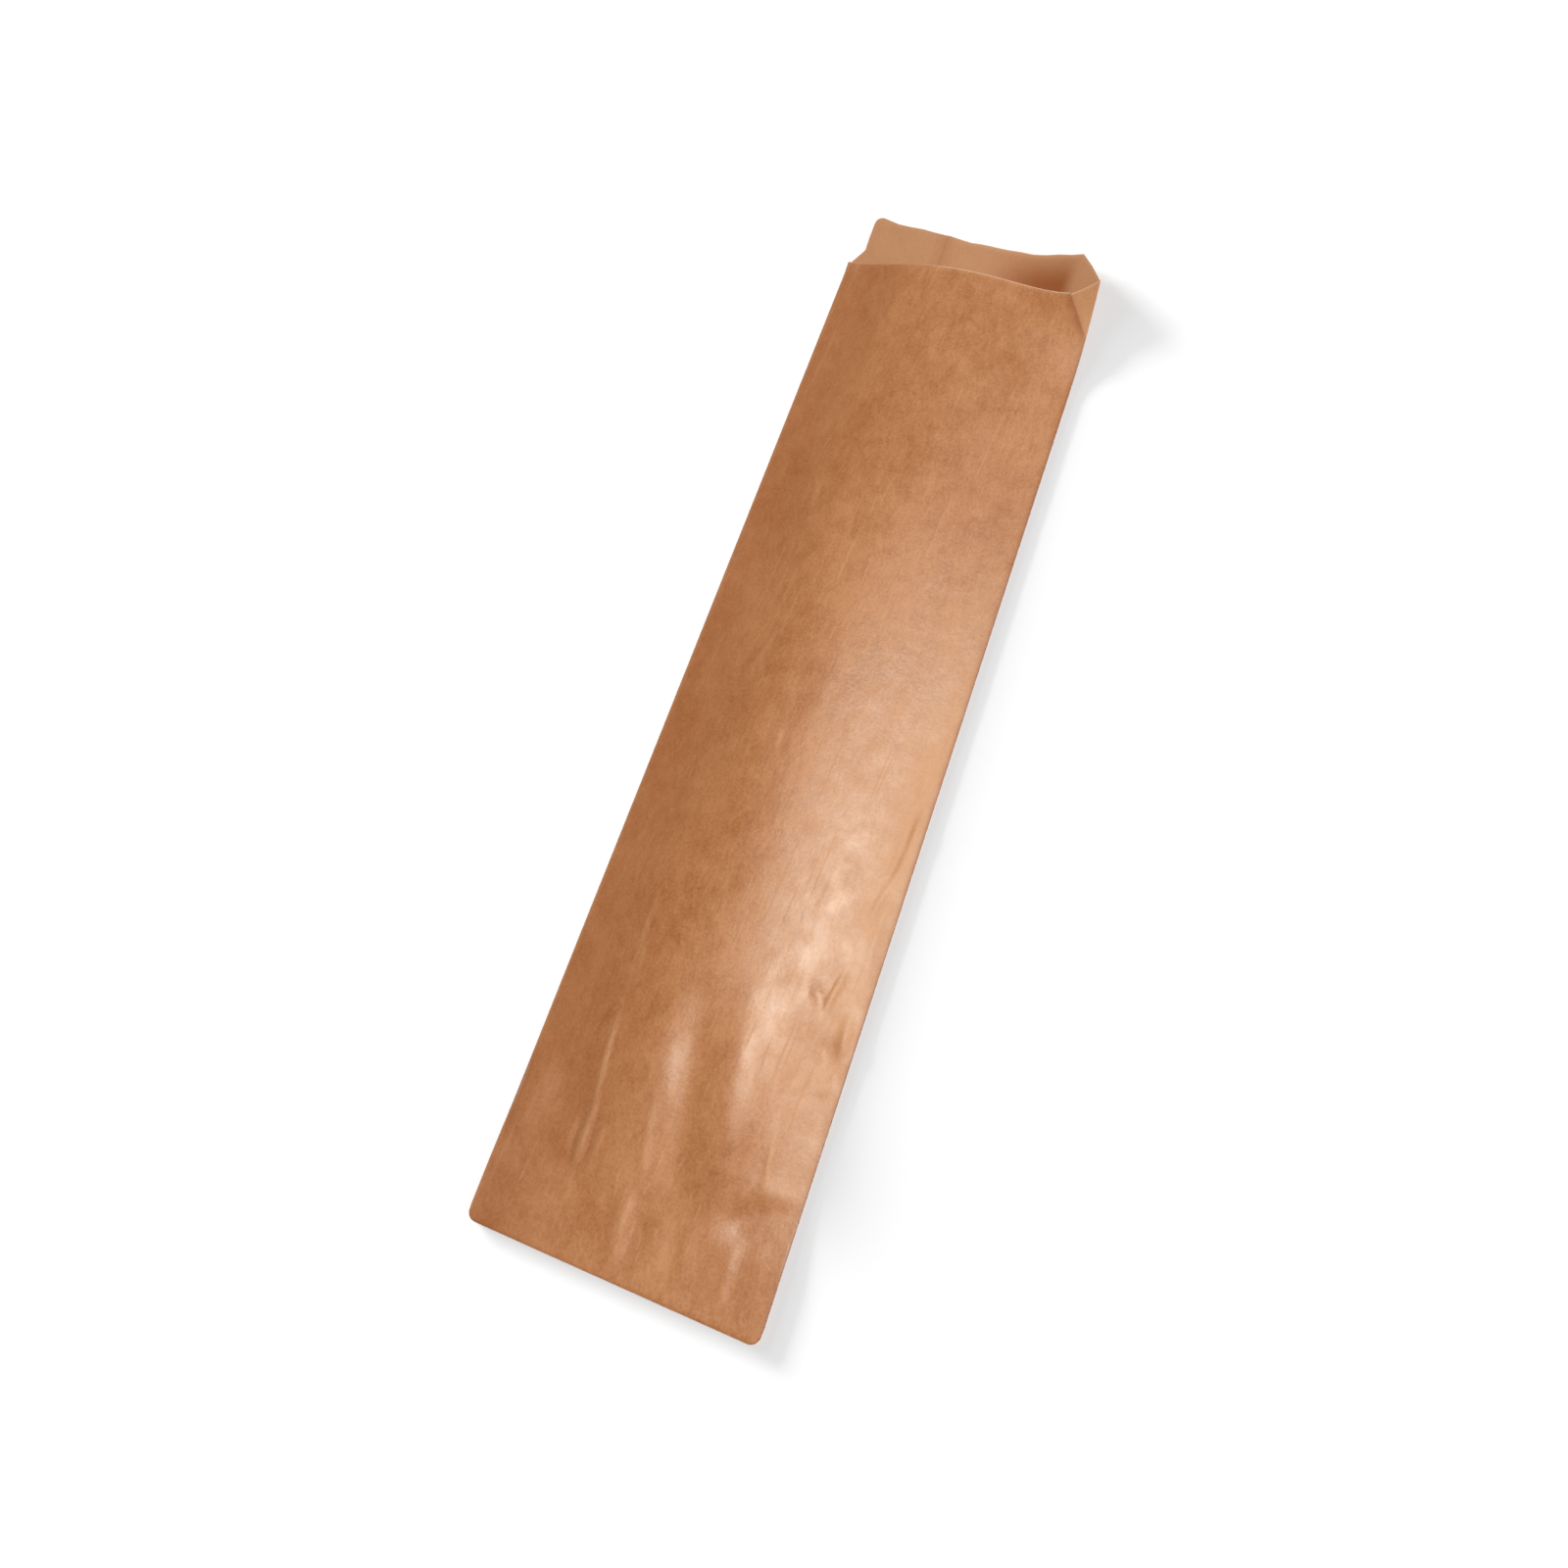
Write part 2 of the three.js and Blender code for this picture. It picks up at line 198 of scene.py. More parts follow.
@dataclass
class BagShape:
    """The folded sheet: its sizes, its columns and the surfaces worked out from them."""

    panel_width: float
    length: float
    lip_height: float = 14.0 * MM
    gusset_depth: float = 15.0 * MM
    paper: float = 0.15 * MM
    gap: float = 0.15 * MM
    seam_overlap: float = 9.0 * MM
    seam_offset: float = -5.5 * MM
    seam_ramp: float = 3.0 * MM
    flap_length: float = 12.0 * MM
    flap_thickness: float = 0.5 * MM
    flap_drop: float = 18.0 * MM
    seal: float = 3.0 * MM
    bottom_corner: float = 2.5 * MM
    edge_round: float = 1.0 * MM
    edge_height: float = 0.35
    middle_rise: float = 5.9 * MM
    mouth_rise: float = 4.3 * MM
    rise_start: float = 48.0 * MM
    mouth_fall: float = 90.0 * MM
    arch_power: float = 1.3
    lowest_share: float = 0.3
    deepest_mark: float = 1.0 * MM
    seat_power: int = 3
    gusset_lift: float = 0.27
    ridge_height: float = 0.45 * MM
    ridge_width: float = 5.0 * MM
    ridge_centre: float = 62.0 * MM
    ridge_reach: float = 46.0 * MM
    tuck_width: float = 7.5 * MM
    tuck_length: float = 13.0 * MM
    gusset_cut_rise: float = 3.5 * MM
    corner_lift: float = 6.5 * MM
    corner_start: float = 5.0 * MM
    curl_length: float = 46.0 * MM
    curl_power: int = 3
    draw_in_power: int = 5
    ledge_width: float = 3.6 * MM
    ledge_rise: float = 4.5 * MM
    side_slope: float = 14.0
    clip_width: float = 7.0 * MM
    lip_round: float = 2.5 * MM
    lip_curl: float = 5.2 * MM
    lip_curl_width: float = 40.0 * MM
    lip_curl_length: float = 18.0 * MM
    lip_curl_power: float = 1.2
    curl_overshoot: float = 2.0 * MM
    draw_in_share: float = 0.9
    corner_radius: float = 2.4 * MM
    side_round: float = 0.5 * MM
    mark_start: float = 5.0 * MM
    mark_margin: float = 0.015
    ceiling: float = 6.5 * MM
    ceiling_blend: float = 0.4 * MM
    edge_wave: float = 0.22 * MM
    wave_length: float = 2.9 * MM
    second_wave: float = 0.6
    second_pace: float = 1.87
    wave_from: float = 4.0 * MM
    wave_full: float = 9.0 * MM
    cut_row: float = 0.35 * MM
    step: float = 0.05 * MM
    mouth_row_length: float = 32.0 * MM
    mouth_row_power: float = 0.85
    fold_parts: int = 8
    gusset_parts: int = 6
    front_parts: int = 124
    back_parts: int = 20
    rows_even: int = 158
    rows_mouth: int = 26
    creases: Sequence[Crease] = ()
    dents: Sequence[Dent] = ()
    columns: list[Column] = field(default_factory=list)

    def __post_init__(self) -> None:
        """Work out the values that follow from the sizes, and lay out the columns."""
        self.half = self.panel_width / 2.0
        self.front_length = self.length - self.lip_height
        self.pitch = self.paper + self.gap
        self.radius = self.pitch / 2.0
        self.fold_line = self.half - self.radius
        self.crease_line = self.half - self.gusset_depth
        self.levels = [self.paper / 2.0 + self.pitch * i for i in range(4)]
        self.seam_left = self.seam_offset - self.seam_overlap / 2.0
        self.seam_right = self.seam_offset + self.seam_overlap / 2.0
        self.even_length = self.front_length - self.mouth_row_length
        side_height = self.lip_height - self.corner_radius - self.ledge_rise
        self.corner_place = self.ledge_width - self.half + side_height / self.side_slope
        self.lay_out()

    def rise(self, y: Array) -> Array:
        """Return how far the middle of the front panel stands off the folds.

        Args:
            y: Distances from the bottom edge.

        Returns:
            Heights in metres.
        """
        to_mouth = smoothstep(y, self.front_length - self.mouth_fall, self.front_length)
        height = self.middle_rise + (self.mouth_rise - self.middle_rise) * to_mouth
        return smoothstep(y, self.seal, self.rise_start) * height

    def gusset_rise(self, u: Array, y: Array) -> Array:
        """Return how far a gusset stands off the folds at an across position."""
        return self.gusset_lift * self.rise(y) * (self.fold_line - np.abs(u)) / self.gusset_depth

    def front_edge(self, side: Side, y: Array) -> Array:
        """Return how far out a side fold of the front panel lies: the right one is tucked in.

        Args:
            side: Which fold.
            y: Distances from the bottom edge.

        Returns:
            Distances from the bag's middle line.
        """
        if side is Side.LEFT:
            return np.full_like(y, self.half)
        start = self.front_length - self.tuck_length
        return self.half - self.tuck_width * np.clip((y - start) / self.tuck_length, 0.0, 1.0)

    def right_curl(self, y: Array) -> Array:
        """Return how far the right corner curls up at a distance from the bottom."""
        past = self.length + self.curl_overshoot
        return self.corner_lift * smoothstep(y, past - self.curl_length, past)

    def curl_share(self, u: Array) -> Array:
        """Return how far across the curl a position is, from 0 to 1."""
        return np.maximum(0.0, (u - self.corner_start) / (self.half - self.corner_start))

    def bed(self, u: Array, y: Array) -> Array:
        """Return the height of the surface that the back panel follows.

        Args:
            u: Across positions.
            y: Distances from the bottom edge.

        Returns:
            Heights above the table.
        """
        flap_end = self.flap_length + self.flap_drop
        flap = self.flap_thickness * (1.0 - smoothstep(y, self.flap_length, flap_end))
        across = np.maximum(0.0, (self.lip_curl_width - self.half - u) / self.lip_curl_width)
        end = self.length + self.curl_overshoot
        along = smoothstep(y, self.length - self.lip_curl_length, end)
        left = self.lip_curl * across**self.lip_curl_power * along
        return flap + self.right_curl(y) * self.curl_share(u) ** self.curl_power + left

    def draw_in(self, u: Array, y: Array) -> Array:
        """Return how far the curl draws the sheet inwards, since paper keeps its width."""
        share = self.curl_share(u) ** self.draw_in_power * self.draw_in_share
        return self.right_curl(y) ** 2 * share / (self.half - self.corner_start)

    def lip_outline(self, u: float) -> float:
        """Return how far up the bag the back panel's cut edge reaches.

        Args:
            u: Across position.

        Returns:
            The distance from the bottom edge, with the ledge, the clipped corner and the wavy cut.
        """
        base = self.front_length
        ledge = base + (u + self.half) * self.ledge_rise / self.ledge_width
        side = base + self.ledge_rise + (u + self.half - self.ledge_width) * self.side_slope
        level = min(ledge, base + self.ledge_rise)
        left = -soft_min(-level, -side, self.side_round)
        drop = (self.lip_height - self.gusset_cut_rise) / self.clip_width
        clip = base + self.gusset_cut_rise + (self.half - u) * drop
        top = min(left, self.length)
        into = self.corner_radius - (u - self.corner_place)
        if 0.0 < into < self.corner_radius:
            radius = self.corner_radius
            top = min(top, self.length - radius + math.sqrt(radius**2 - into**2))
        turn = u / self.wave_length
        wave = math.sin(turn) + self.second_wave * math.sin(self.second_pace * turn + 1.0)
        wave -= 1.0 + self.second_wave
        inside = float(smoothstep(self.half - abs(u), self.wave_from, self.wave_full))
        return soft_min(top, clip, self.lip_round / 2.0) + self.edge_wave * wave * inside

    def handled(self, u: Array, y: Array) -> Array:
        """Return the height that ridges, creases and dents add to the front panel.

        Args:
            u: Across positions.
            y: Distances from the bottom edge.

        Returns:
            Heights in metres, negative in a hollow.
        """
        across = bell(np.abs(u) - self.crease_line, self.ridge_width)
        along = bell(y - self.ridge_centre, self.ridge_reach)
        height = self.ridge_height * across * along * smoothstep(y, self.seal, self.rise_start)
        for mark in (*self.creases, *self.dents):
            height = height + mark.height * MM * mark.profile(u, y)
        return height * smoothstep(y, self.seal, self.seal + self.mark_start)

    def under_ceiling(self, height: Array) -> Array:
        """Return the front panel's height over its folds, eased off below the highest it may be.

        Args:
            height: Heights before they are limited.

        Returns:
            Heights below the ceiling.
        """
        start = self.ceiling - self.ceiling_blend
        over = np.maximum(height - start, 0.0)
        eased = start + self.ceiling_blend * (1.0 - np.exp(-over / self.ceiling_blend))
        return np.where(height > start, eased, height)

    def back_positions(self) -> list[float]:
        """Place the back panel's columns: those that it needs, and even ones between them.

        Returns:
            Across positions from left to right.
        """
        seam = [self.seam_left, self.seam_left + self.step, self.seam_right]
        seam += [self.seam_right + self.step, self.seam_right + self.seam_ramp]
        shares = np.concatenate([np.linspace(*run) for run in LEDGE_RUNS])
        ledge = [self.ledge_width * share - self.half for share in shares]
        needed = [-self.fold_line, *ledge, *seam, self.fold_line]
        even = np.linspace(-self.fold_line, self.fold_line, self.back_parts + 1)[1:-1]
        room = self.panel_width / self.back_parts / 3.0
        clear = [u for u in even if all(abs(u - other) > room for other in needed)]
        return sorted([*needed, *clear])

    def seam_shift(self, u: float) -> float:
        """Return how far the lap seam lifts the upper edge of the sheet past the lower one.

        Args:
            u: Across position.

        Returns:
            The lift in metres.
        """
        if u <= self.seam_right:
            return 0.0
        share = (self.seam_right + self.seam_ramp - u) / (self.seam_ramp - self.step)
        return self.paper * min(max(share, 0.0), 1.0)

    def back_columns(self, positions: Iterable[float]) -> list[Column]:
        """Return the back panel's columns at the given positions.

        Args:
            positions: Across positions, in the order that the columns take.

        Returns:
            One column for each position.
        """
        columns = []
        for u in positions:
            shift = self.seam_shift(u)
            inner = self.paper if self.seam_left < u <= self.seam_right else shift
            columns.append(Column(
                place=lambda y, u=u: (np.full_like(y, u), np.full_like(y, self.levels[0])),
                top=self.lip_outline(u), outer_shift=shift, inner_shift=inner, over_flap=True))
        return columns

    def fold_columns(self, side: Side, upper: bool) -> list[Column]:
        """Return the columns round one side fold, from its lower layer to its upper one.

        Args:
            side: Which side of the bag.
            upper: Whether it is the front panel's fold and not the back panel's.

        Returns:
            The columns between the two layers.
        """
        columns = []
        for i in range(1, self.fold_parts):
            angle = -math.pi / 2.0 + math.pi * i / self.fold_parts

            def place(y: Array, angle: float = angle) -> Line:
                """Give the column's line.

                Args:
                    y: Distances from the bottom edge.
                    angle: How far round the fold it lies.

                Returns:
                    Across positions and heights.
                """
                edge = self.front_edge(side, y) if upper else np.full_like(y, self.half)
                centre = edge - self.radius
                level = self.levels[2] + self.gusset_rise(centre, y) if upper else self.levels[0]
                height = level + self.radius * (1.0 + math.sin(angle))
                return side.value * (centre + self.radius * math.cos(angle)), height + 0.0 * y

            rise = self.gusset_cut_rise if side is Side.RIGHT and not upper else 0.0
            beyond = i < self.fold_parts / 2 if upper else i > self.fold_parts / 2
            columns.append(Column(
                place=place, top=self.front_length + rise, in_gusset=beyond,
                over_flap=not upper and i < self.fold_parts / 2))
        return columns

    def gusset_columns(self, side: Side) -> list[Column]:
        """Return one gusset's columns: in along its back half, round its crease and out again.

        Args:
            side: Which side of the bag.

        Returns:
            The columns from the back panel's fold to the front panel's.
        """
        inner = self.crease_line + self.radius
        shares = np.linspace(0.0, 1.0, self.gusset_parts + 1)
        columns = []
        for share in shares:
            u = self.fold_line + (inner - self.fold_line) * share
            seen = np.clip((u - self.half + self.tuck_width) / self.tuck_width, 0.0, 1.0)
            rise = self.gusset_cut_rise * seen if side is Side.RIGHT else 0.0
            columns.append(Column(
                place=lambda y, u=u: (
                    np.full_like(y, side.value * u), self.levels[1] + self.gusset_rise(u, y)),
                top=self.front_length + float(rise), gusset=True, in_gusset=True))
        for i in range(1, self.fold_parts):
            angle = math.pi * i / self.fold_parts

            def turn(y: Array, angle: float = angle) -> Line:
                """Give the column's line.

                Args:
                    y: Distances from the bottom edge.
                    angle: How far round the crease it lies.

                Returns:
                    Across positions and heights.
                """
                height = self.radius * (1.0 - math.cos(angle)) + self.gusset_rise(inner, y)
                across = inner - self.radius * math.sin(angle)
                return np.full_like(y, side.value * across), self.levels[1] + height

            columns.append(Column(
                place=turn, top=self.front_length, gusset=True, in_gusset=True,
                is_crease=i == self.fold_parts // 2))
        for share in shares:

            def outwards(y: Array, share: float = share) -> Line:
                """Give the column's line.

                Args:
                    y: Distances from the bottom edge.
                    share: How far out to the fold it lies, from 0 to 1.

                Returns:
                    Across positions and heights.
                """
                end = self.front_edge(side, y) - self.radius
                u = inner + (end - inner) * share
                return side.value * u, self.levels[2] + self.gusset_rise(u, y)

            columns.append(Column(
                place=outwards, top=self.front_length, gusset=True, in_gusset=True))
        return columns

    def front_columns(self) -> list[Column]:
        """Make the front panel's columns.

        Returns:
            The columns from the right fold to the left one.
        """
        columns = []
        for share in np.linspace(0.0, 1.0, self.front_parts + 1):

            def place(y: Array, share: float = share) -> Line:
                """Give the column's line.

                Args:
                    y: Distances from the bottom edge.
                    share: How far across the panel it lies, from 0 at the right fold to 1.

                Returns:
                    Across positions and heights.
                """
                right = self.front_edge(Side.RIGHT, y) - self.radius
                u = right + (-self.fold_line - right) * share
                bow = math.sin(math.pi * share) if 0.0 < share < 1.0 else 0.0
                seat = self.gusset_rise(right, y) * (1.0 - share) ** self.seat_power
                edge = float(smoothstep(min(share, 1.0 - share), 0.0, self.mark_margin))
                height = self.rise(y) * bow**self.arch_power + self.handled(u, y) * edge
                least = self.rise(y) * bow * self.lowest_share
                lowest = np.minimum(least, height + self.deepest_mark)
                return u, self.levels[3] + seat + self.under_ceiling(np.maximum(height, lowest))

            columns.append(Column(place=place, top=self.front_length))
        return columns

    def lay_out(self) -> None:
        """Lay the columns out once round the bag, starting to the right of the lap seam."""
        positions = self.back_positions()
        start = self.seam_right + self.seam_ramp
        self.columns = [
            *self.back_columns(u for u in positions if u >= start),
            *self.fold_columns(Side.RIGHT, upper=False),
            *self.gusset_columns(Side.RIGHT),
            *self.fold_columns(Side.RIGHT, upper=True),
            *self.front_columns(),
            *reversed(self.fold_columns(Side.LEFT, upper=True)),
            *reversed(self.gusset_columns(Side.LEFT)),
            *reversed(self.fold_columns(Side.LEFT, upper=False)),
            *self.back_columns(u for u in positions if u < start),
        ]

    def rows(self, column: Column) -> Array:
        """Return a column's rows: even up to near the mouth, then spread out to its cut edge.

        Args:
            column: The column.

        Returns:
            Distances from the bottom edge.
        """
        flap = np.array([self.seal, self.flap_length / 2.0, self.flap_length])
        drop = np.array([self.flap_length + self.step])
        body = np.linspace(self.flap_length, self.even_length, self.rows_even + 1)[1:]
        shares = np.linspace(0.0, 1.0, self.rows_mouth + 1)[1:]
        last = column.top - self.cut_row
        mouth = self.even_length + (last - self.even_length) * shares**self.mouth_row_power
        return np.concatenate([flap, drop, body, mouth, [column.top]])

    def middle(self) -> Array:
        """Work out the middle of the paper.

        Returns:
            Points as columns by rows.
        """
        lines = []
        for column in self.columns:
            y = self.rows(column)
            u, height = column.place(y)
            lines.append(np.stack([u - self.draw_in(u, y), y, self.bed(u, y) + height], axis=1))
        return np.array(lines)

    def faces(self) -> Line:
        """Work out the two faces of the paper.

        Returns:
            The outer and the inner face's points as columns by rows.
        """
        middle = self.middle()
        around = np.roll(middle, -1, axis=0) - np.roll(middle, 1, axis=0)
        along = np.gradient(middle, axis=1)
        outward = np.cross(along, around)
        outward /= np.linalg.norm(outward, axis=2, keepdims=True)
        outer = middle + outward * self.paper / 2.0
        inner = middle - outward * self.paper / 2.0
        for i, column in enumerate(self.columns):
            on_flap = middle[i, :, 1] <= self.flap_length + self.step / 2.0
            drop = -self.flap_thickness if column.over_flap else 0.0
            outer[i, :, 2] += np.where(on_flap, drop, column.outer_shift)
            inner[i, :, 2] += column.inner_shift
        return outer, inner

    def sealed(self, outer: Array, y: float) -> Array:
        """Return the sealed end's points at a distance y, with its rounded corners and edge.

        Args:
            outer: The outer face's points of every column on its first row.
            y: Distance from the bottom edge.

        Returns:
            One point for each column.
        """
        points = outer.copy()
        into = max(0.0, self.bottom_corner - y)
        corner = self.bottom_corner - math.sqrt(self.bottom_corner**2 - into**2)
        points[:, 0] *= (self.half - corner) / self.half
        edge = min(max(1.0 - y / self.edge_round, 0.0), 1.0)
        share = self.edge_height + (1.0 - self.edge_height) * math.sqrt(1.0 - edge**2)
        centre = (self.flap_thickness + self.levels[3]) / 2.0
        points[:, 2] = centre + (points[:, 2] - centre) * share
        points[:, 1] = y
        return points


class MeshBuilder:
    """Collects vertices and faces, and joins points that coincide by their index."""

    def __init__(self) -> None:
        """Start an empty mesh."""
        self.points: list[Array] = []
        self.count = 0
        self.faces: list[tuple[int, ...]] = []
        self.coordinates: list[Array] = []

    def add(self, points: Array, coordinates: Array) -> Array:
        """Add points and return their indices.

        Args:
            points: Positions, one to a row.
            coordinates: The points' sheet coordinates, one to a row.

        Returns:
            The index of each point.
        """
        self.points.append(points.reshape(-1, 3))
        self.coordinates.append(coordinates.reshape(-1, 5))
        indices = np.arange(self.count, self.count + points.reshape(-1, 3).shape[0])
        self.count += len(indices)
        return indices.reshape(points.shape[:-1])

    def strip(self, left: Array, right: Array, flip: bool = False) -> None:
        """Fill the strip between two lines of indices with four-sided faces.

        Args:
            left: Indices along one line.
            right: Indices along the other.
            flip: Whether the faces turn the other way.
        """
        for a, b, c, d in zip(left[:-1], right[:-1], right[1:], left[1:]):
            quad = (int(a), int(b), int(c), int(d))
            self.faces.append(quad if flip else quad[::-1])

    def zip_cap(self, loop: Sequence[int], flip: bool = False) -> None:
        """Close a loop that runs once out and once back across the bag.

        Args:
            loop: Indices of points that share one distance along the bag.
            flip: Whether the faces turn the other way.
        """
        across = np.concatenate(self.points)[list(loop), 0]
        first = int(np.argmin(across))
        turned = [*loop[first:], *loop[:first]]
        width = [*across[first:], *across[:first]]
        last = int(np.argmax(width))
        there, there_x = turned[:last + 1], width[:last + 1]
        back = [turned[0], *turned[last:][::-1]]
        back_x = [width[0], *width[last:][::-1]]
        i = j = 0
        while i + 1 < len(there) or j + 1 < len(back):
            forward = j + 1 >= len(back) or (i + 1 < len(there) and there_x[i + 1] <= back_x[j + 1])
            face = (there[i], there[i + 1], back[j]) if forward else (there[i], back[j + 1], back[j])
            if forward:
                i += 1
            else:
                j += 1
            if len(set(face)) == 3:
                self.faces.append(face if flip else face[::-1])


@dataclass
class PaperBag:
    """The bag as one piece: its mesh, the marks on its sheet and its finish."""

    shape: BagShape
    origin_y: float
    fold_width: float = 0.5 * MM
    left_fold_wear: float = 0.5
    # The cut edges are paler, and they carry a painted highlight that is full on the right half and fades
    # towards the left.
    cut_width: float = 0.25 * MM
    cut_highlight_least: float = 0.35
    cut_highlight_fade: float = 15.0 * MM
    # Painted light on the right gusset's outer face.
    facet_painted_light: float = 0.35
    # A painted highlight near the right edge, strongest along the middle of the bag.
    edge_highlight: float = 0.5
    edge_highlight_across: Pair = (22.0 * MM, 31.0 * MM)
    edge_highlight_centre: float = 105.0 * MM
    edge_highlight_reach: float = 55.0 * MM
    # Painted shade: a shadow beside the tucked right fold, shade inside the mouth, a shadow along the lap
    # seam's step, a dark line along the right fold and a darker left side.
    tuck_shade: float = 0.8
    tuck_along: Pair = (16.0 * MM, 9.0 * MM)
    tuck_reach: float = 1.5 * MM
    tuck_limit: float = 10.0 * MM
    mouth_across: Pair = (0.0, 20.0 * MM)
    mouth_end: Pair = (25.0 * MM, 28.5 * MM)
    mouth_along: Pair = (3.0 * MM, 17.0 * MM)
    seam_shade: float = 0.3
    seam_shift: float = 0.5 * MM
    seam_reach: float = 1.0 * MM
    fold_shade: float = 0.7
    fold_reach: float = 0.55 * MM
    left_shade: float = 0.4
    left_end: float = -6.0 * MM

    def mesh(self) -> bpy.types.Mesh:
        """Build the closed mesh of the folded sheet.

        Returns:
            The mesh, with its marks.
        """
        shape = self.shape
        outer, inner = shape.faces()
        builder = MeshBuilder()
        count = len(shape.columns)
        even = np.array([shape.even_length])
        across = np.array([column.place(even)[0][0] for column in shape.columns])
        walked = self.walked()
        outer_at = builder.add(outer, self.sheet_map(walked, outer, 1.0))
        inner_at = builder.add(inner, self.sheet_map(walked, inner, 0.0))
        for i in range(count):
            k = (i + 1) % count
            builder.strip(outer_at[i], outer_at[k])
            builder.strip(inner_at[i], inner_at[k], flip=True)
            builder.faces.append((
                int(inner_at[i][-1]), int(inner_at[k][-1]), int(outer_at[k][-1]), int(outer_at[i][-1])))
        for loop in self.cavity_loops(across):
            builder.zip_cap([int(inner_at[i][0]) for i in loop])
        self.close_bottom(builder, outer, outer_at, walked)
        return self.finish_mesh(builder)

    def walked(self) -> Array:
        """Measure how far round the sheet each column lies from the first one.

        Returns:
            One distance for each column.
        """
        shape = self.shape
        y = np.array([shape.ridge_centre])
        points = np.array([np.array(column.place(y))[:, 0] for column in shape.columns])
        steps = np.hypot(*(points - np.roll(points, 1, axis=0)).T)
        steps[0] = 0.0
        return np.cumsum(steps)

    def sheet_map(self, walked: Array, face: Array, side: float) -> Array:
        """Return sheet coordinates for a face.

        Args:
            walked: How far round the sheet each column lies.
            face: The face's points.
            side: 1 for the outer face and 0 for the inner one.

        Returns:
            Across, along, side, distance to the cut edge, and 1 on a gusset, for each point.
        """
        across = np.repeat(walked[:, None], face.shape[1], axis=1)
        to_edge = np.array([column.top - self.shape.rows(column) for column in self.shape.columns])
        gusset = np.array([[column.gusset] for column in self.shape.columns])
        sides = np.full_like(across, side)
        return np.stack([across, face[:, :, 1], sides, to_edge, gusset + 0.0 * across], axis=2)

    def cavity_loops(self, across: Array) -> list[list[int]]:
        """Return the end of the bag's inside as loops above, below and between the gussets.

        Args:
            across: Where each column lies across the bag, near the mouth.

        Returns:
            Loops of column indices.
        """
        count = len(self.shape.columns)
        width = np.abs(across)

        def past(crease: int, step: int) -> int:
            """Return the first column past a crease that lies nearer the middle.

            Args:
                crease: The crease's column.
                step: 1 to go on round the bag and -1 to go back.

            Returns:
                The column's index.
            """
            i = crease
            while width[i] >= width[crease]:
                i = (i + step) % count
            return i

        def run(first: int, last: int) -> list[int]:
            """Return the columns from the first to the last, on round the bag."""
            return [(first + i) % count for i in range((last - first) % count + 1)]

        right, left = [i for i, column in enumerate(self.shape.columns) if column.is_crease]
        back_right, front_right = past(right, -1), past(right, 1)
        front_left, back_left = past(left, -1), past(left, 1)
        middle = [*run(back_left, back_right), right, *run(front_right, front_left), left]
        return [run(back_right, right), run(right, front_right), run(front_left, left),
                run(left, back_left), middle]

    def close_bottom(self, builder: MeshBuilder, outer: Array, outer_at: Array,
                     walked: Array) -> None:
        """Build the sealed bottom end and close the gussets' slits above it.

        Args:
            builder: Where the faces go.
            outer: The outer face's points.
            outer_at: Their indices.
            walked: How far round the sheet each column lies.
        """
        shape = self.shape
        kept = [i for i, column in enumerate(shape.columns) if not column.in_gusset]
        levels = [*(np.array(BOTTOM_SHARES) * shape.edge_round)]
        levels.append((shape.edge_round + shape.bottom_corner) / 2.0)
        lines = []
        for y in levels:
            points = shape.sealed(outer[:, 0], float(y))[kept]
            ones = np.ones(len(kept))
            sheet = np.stack([walked[kept], ones * y, ones, ones, 0.0 * ones], axis=1)
            lines.append(builder.add(points, sheet))
        lines.append(np.array([outer_at[i][0] for i in kept]))
        ends = np.array(lines).T
        for k in range(len(kept)):
            builder.strip(ends[k], ends[(k + 1) % len(kept)])
        builder.zip_cap([int(i) for i in ends[:, 0]], flip=True)
        run: list[int] = []
        for i, column in enumerate(shape.columns):
            if column.in_gusset:
                run = run or [i - 1]
                run.append(i)
            elif run:
                builder.zip_cap([int(outer_at[j][0]) for j in (*run, i)], flip=True)
                run = []

    def finish_mesh(self, builder: MeshBuilder) -> bpy.types.Mesh:
        """Turn the collected points and faces into a mesh with its sheet coordinates.

        Args:
            builder: The points and faces.

        Returns:
            The mesh.
        """
        points = np.concatenate(builder.points)
        points[:, 1] += self.origin_y
        mesh = bpy.data.meshes.new(NODE + "_sheet")
        mesh.from_pydata(points.tolist(), [], builder.faces)
        mesh.validate()
        sheet = np.concatenate(builder.coordinates)
        uv = mesh.uv_layers.new(name="Sheet")
        corner = np.empty(len(mesh.loops), dtype=np.int32)
        mesh.loops.foreach_get("vertex_index", corner)
        uv.data.foreach_set("uv", (sheet[corner, :2] / self.shape.length).ravel())
        self.add_marks(mesh, points, sheet)
        mesh.shade_smooth()
        mesh.set_sharp_from_angle(angle=SHARP_ANGLE)
        return mesh

    def add_marks(self, mesh: bpy.types.Mesh, points: Array, sheet: Array) -> None:
        """Store where the glaze is worn, where the cut edges are pale with a painted highlight, where
        painted light and painted shade fall, and which side of the paper a point is on.

        Args:
            mesh: The mesh that gets the attributes.
            points: Its points in the object's frame.
            sheet: Across, along, side, distance to the cut edge and gusset flag of each point.
        """
        shape = self.shape
        u, y = points[:, 0], points[:, 1] - self.origin_y
        worn = np.zeros(len(points))
        for crease in shape.creases:
            worn = np.maximum(worn, crease.worn * crease.profile(u, y) ** 2)
        worn = np.maximum(worn, self.left_fold_wear * bell(shape.half + u, self.fold_width))
        # Pale cut edges with a painted highlight: full on the right half, fading to about a third on the
        # left.
        lit = self.cut_highlight_least + (1.0 - self.cut_highlight_least) * smoothstep(u, -self.cut_highlight_fade, 0.0)
        cut = bell(sheet[:, 3], self.cut_width) * lit
